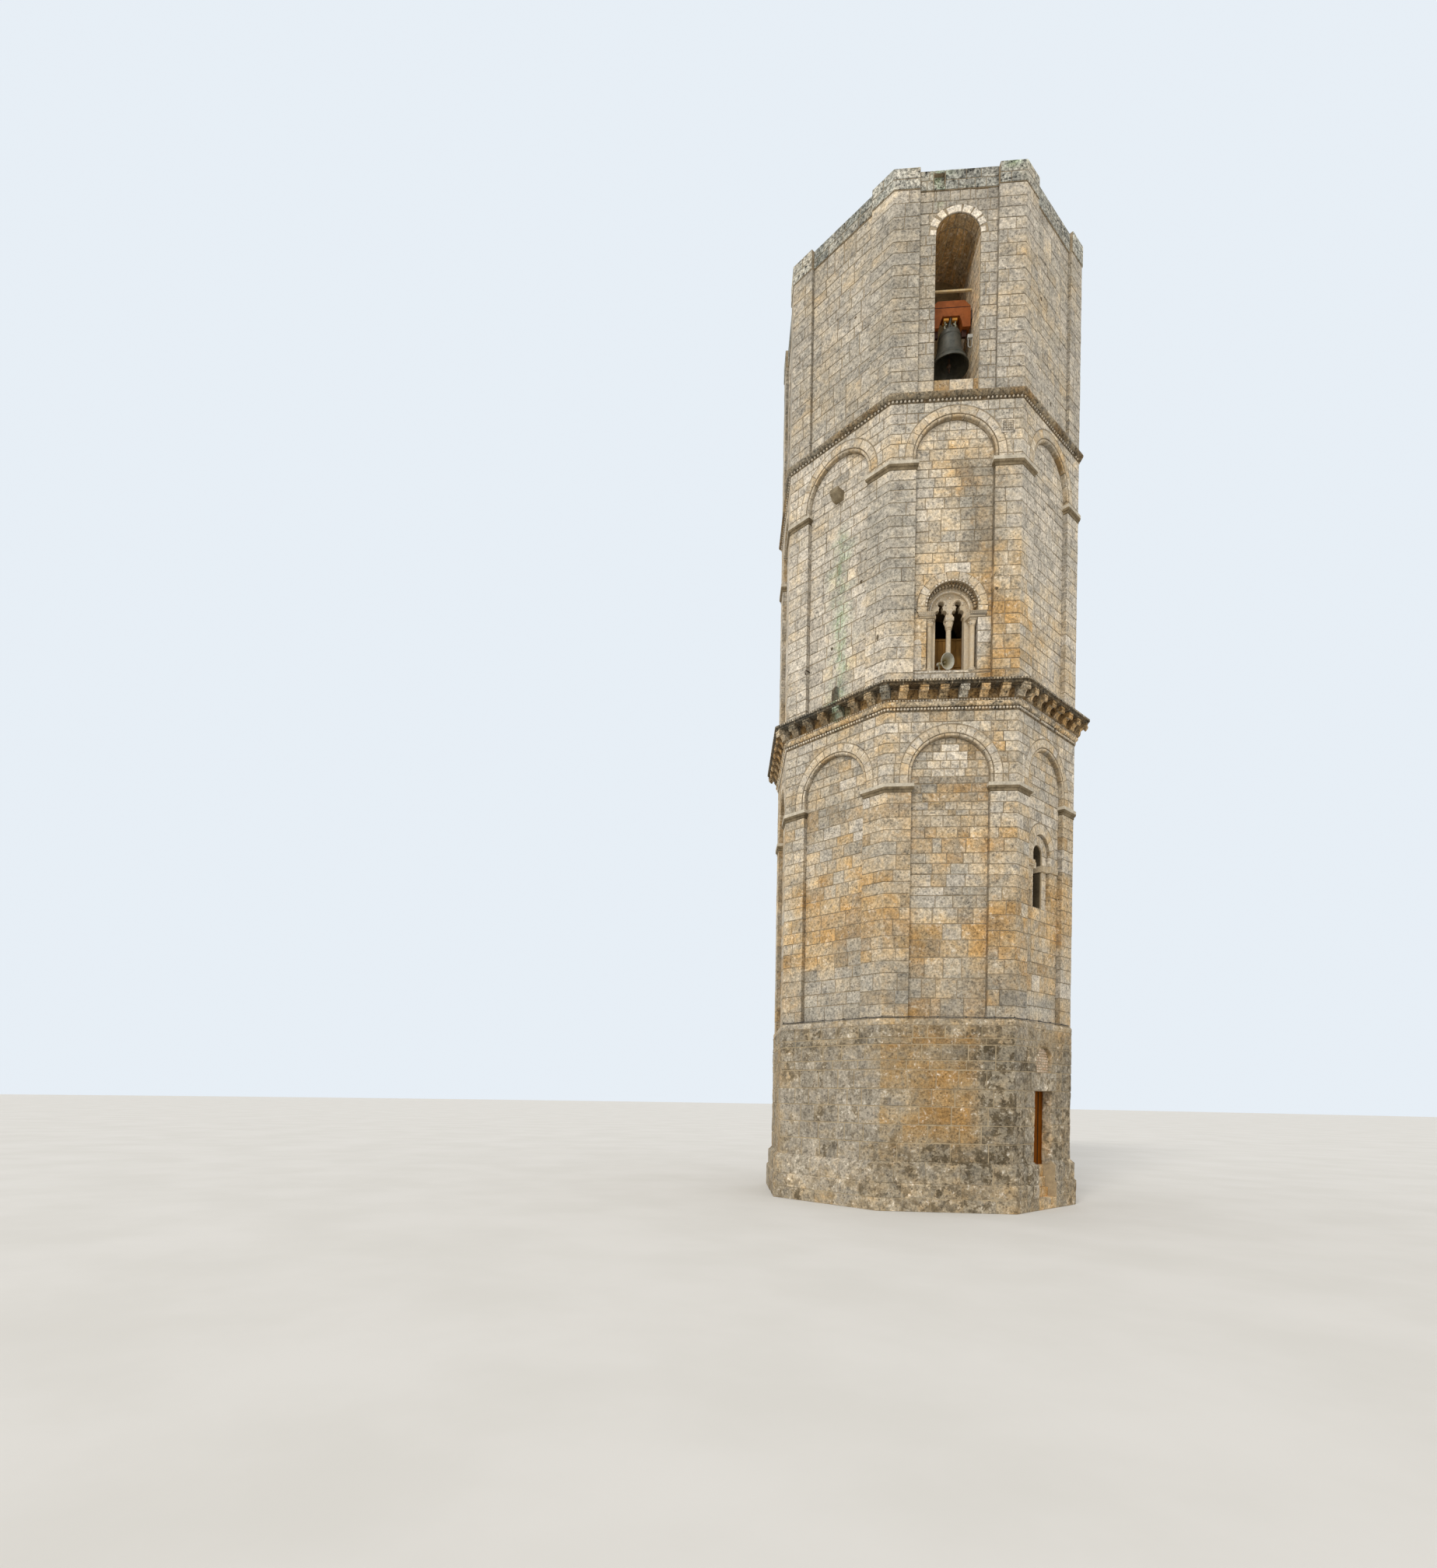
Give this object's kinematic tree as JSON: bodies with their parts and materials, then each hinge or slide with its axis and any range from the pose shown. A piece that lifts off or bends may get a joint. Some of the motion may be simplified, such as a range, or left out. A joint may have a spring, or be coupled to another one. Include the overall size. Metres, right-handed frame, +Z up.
{
  "type": "bell tower",
  "caption": "Octagonal limestone bell tower with blind arcades, a corbelled cornice, a twin window, a bell in an arched opening and a two-leaf door.",
  "frame": {"origin": "centre of the tower's plan at ground level", "axes": "+Z up along the tower's axis; -Y is the outward normal of the face with the twin window and the bell opening; the door is on the face whose outward normal is (0.707, -0.707, 0)"},
  "size_m": [8.0758, 8.0758, 25],
  "materials": {
    "limestone": "weathered honey limestone ashlar, tooled, with thin lime joints",
    "pale_stone": "pale dressed limestone, softly worn",
    "grey_stone": "grey weathered limestone with lichen",
    "rough_stone": "rough brown-grey limestone, lichen-spotted",
    "sill_stone": "ochre and white sill stones",
    "brick": "pinkish brick infill with lime joints",
    "door_wood": "ochre-brown varnished boards",
    "screen_wood": "dark weathered boards",
    "hinge_iron": "blackened iron",
    "horn_grey": "light grey matt plastic",
    "bell_bronze": "bronze with dull grey-green patina",
    "headstock_red": "red-oxide painted steel, rust-stained",
    "clapper_iron": "rusted iron",
    "bar_metal": "pale painted steel",
    "box_plastic": "light grey plastic"
  },
  "bodies": {
    "tower": {"plinth": "rough_stone", "base_walls": "rough_stone", "door_jambs": "rough_stone", "door_wall_sides": "rough_stone", "door_head": "rough_stone", "door_lintel": "grey_stone", "lunette_infill": "brick", "door_steps": "grey_stone", "door_pintles": "hinge_iron", "string_courses": "grey_stone", "storey_walls": "limestone", "side_window_walls": "limestone", "side_window_frames": "pale_stone", "side_window_imposts": "pale_stone", "corner_pilasters": "limestone", "imposts": "grey_stone", "spandrels": "limestone", "arch_rolls": "pale_stone", "torus_course": "pale_stone", "corbel_course": "grey_stone", "corner_corbels": "grey_stone", "cornice": "grey_stone", "twin_window_walls": "limestone", "twin_window_frames": "pale_stone", "twin_window_columns": "pale_stone", "twin_window_imposts": "pale_stone", "archivolts": "pale_stone", "wooden_screens": "screen_wood", "horn_speaker": "horn_grey", "stone_bracket": "grey_stone", "belfry_jambs": "limestone", "belfry_sills": "sill_stone", "belfry_heads": "limestone", "parapet": "grey_stone", "corner_blocks": "grey_stone", "floors": "grey_stone", "roof_slab": "grey_stone", "bell_bearings": "hinge_iron", "cross_bar": "bar_metal", "cable_box": "box_plastic"},
    "wide_leaf": {"wide_door_leaf": "door_wood"},
    "narrow_leaf": {"narrow_door_leaf": "door_wood"},
    "bell": {"bell": "bell_bronze", "headstock": "headstock_red"},
    "clapper": {"clapper": "clapper_iron"}
  },
  "joints": [
    {"name": "wide_leaf_hinge", "type": "hinge", "parent": "tower", "child": "wide_leaf", "pos_m": [2.06043, -2.81986, 2], "axis": [0, 0, 1], "range_deg": [0, 90]},
    {"name": "narrow_leaf_hinge", "type": "hinge", "parent": "tower", "child": "narrow_leaf", "pos_m": [2.81986, -2.06043, 2], "axis": [0, 0, -1], "range_deg": [0, 90]},
    {"name": "bell_swing", "type": "hinge", "parent": "tower", "child": "bell", "pos_m": [0, -2.96789, 22.05], "axis": [1, 0, 0], "range_deg": [-60, 60]},
    {"name": "clapper_swing", "type": "hinge", "parent": "bell", "child": "clapper", "pos_m": [0, -2.96789, 21.55], "axis": [1, 0, 0], "range_deg": [-24, 24]}
  ]
}
